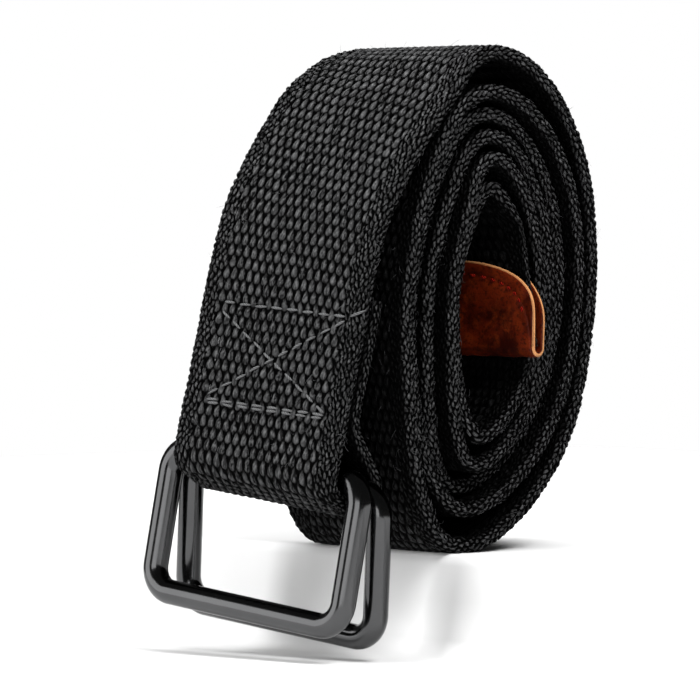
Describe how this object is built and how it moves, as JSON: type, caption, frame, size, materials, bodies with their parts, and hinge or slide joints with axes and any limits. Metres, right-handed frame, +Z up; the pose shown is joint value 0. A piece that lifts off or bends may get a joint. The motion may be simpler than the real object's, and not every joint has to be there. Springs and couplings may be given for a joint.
{
  "type": "double ring belt",
  "caption": "Double ring belt: thick black woven cotton webbing rolled up, two rectangular gunmetal rings in a box-stitched fold at the outer end, and a folded brown leather tip inside the roll.",
  "frame": {"origin": "Middle of the roll's underside, where the roll sits with its rings hanging clear in front of it.", "axes": "+Z up, X along the roll's axis and across the webbing, -Y towards the front where the rings hang."},
  "size_m": [0.0584, 0.0641, 0.1065],
  "materials": {
    "webbing": "matte",
    "leather": "satin",
    "ring_metal": "polished"
  },
  "bodies": {
    "strap": {"webbing": "webbing", "leather_tip": "leather"},
    "front_ring": {"ring_front": "ring_metal"},
    "back_ring": {"ring_back": "ring_metal"}
  },
  "joints": [
    {"name": "front_ring_hinge", "type": "hinge", "parent": "strap", "child": "front_ring", "pos_m": [-0.007, -0.02336, 0.01565], "axis": [-0.9846, -0.1323, 0.1142], "range_deg": [0, 150]},
    {"name": "back_ring_hinge", "type": "hinge", "parent": "strap", "child": "back_ring", "pos_m": [-0.00745, -0.019, 0.01328], "axis": [-0.9846, -0.1323, 0.1142], "range_deg": [-30, 0]}
  ]
}
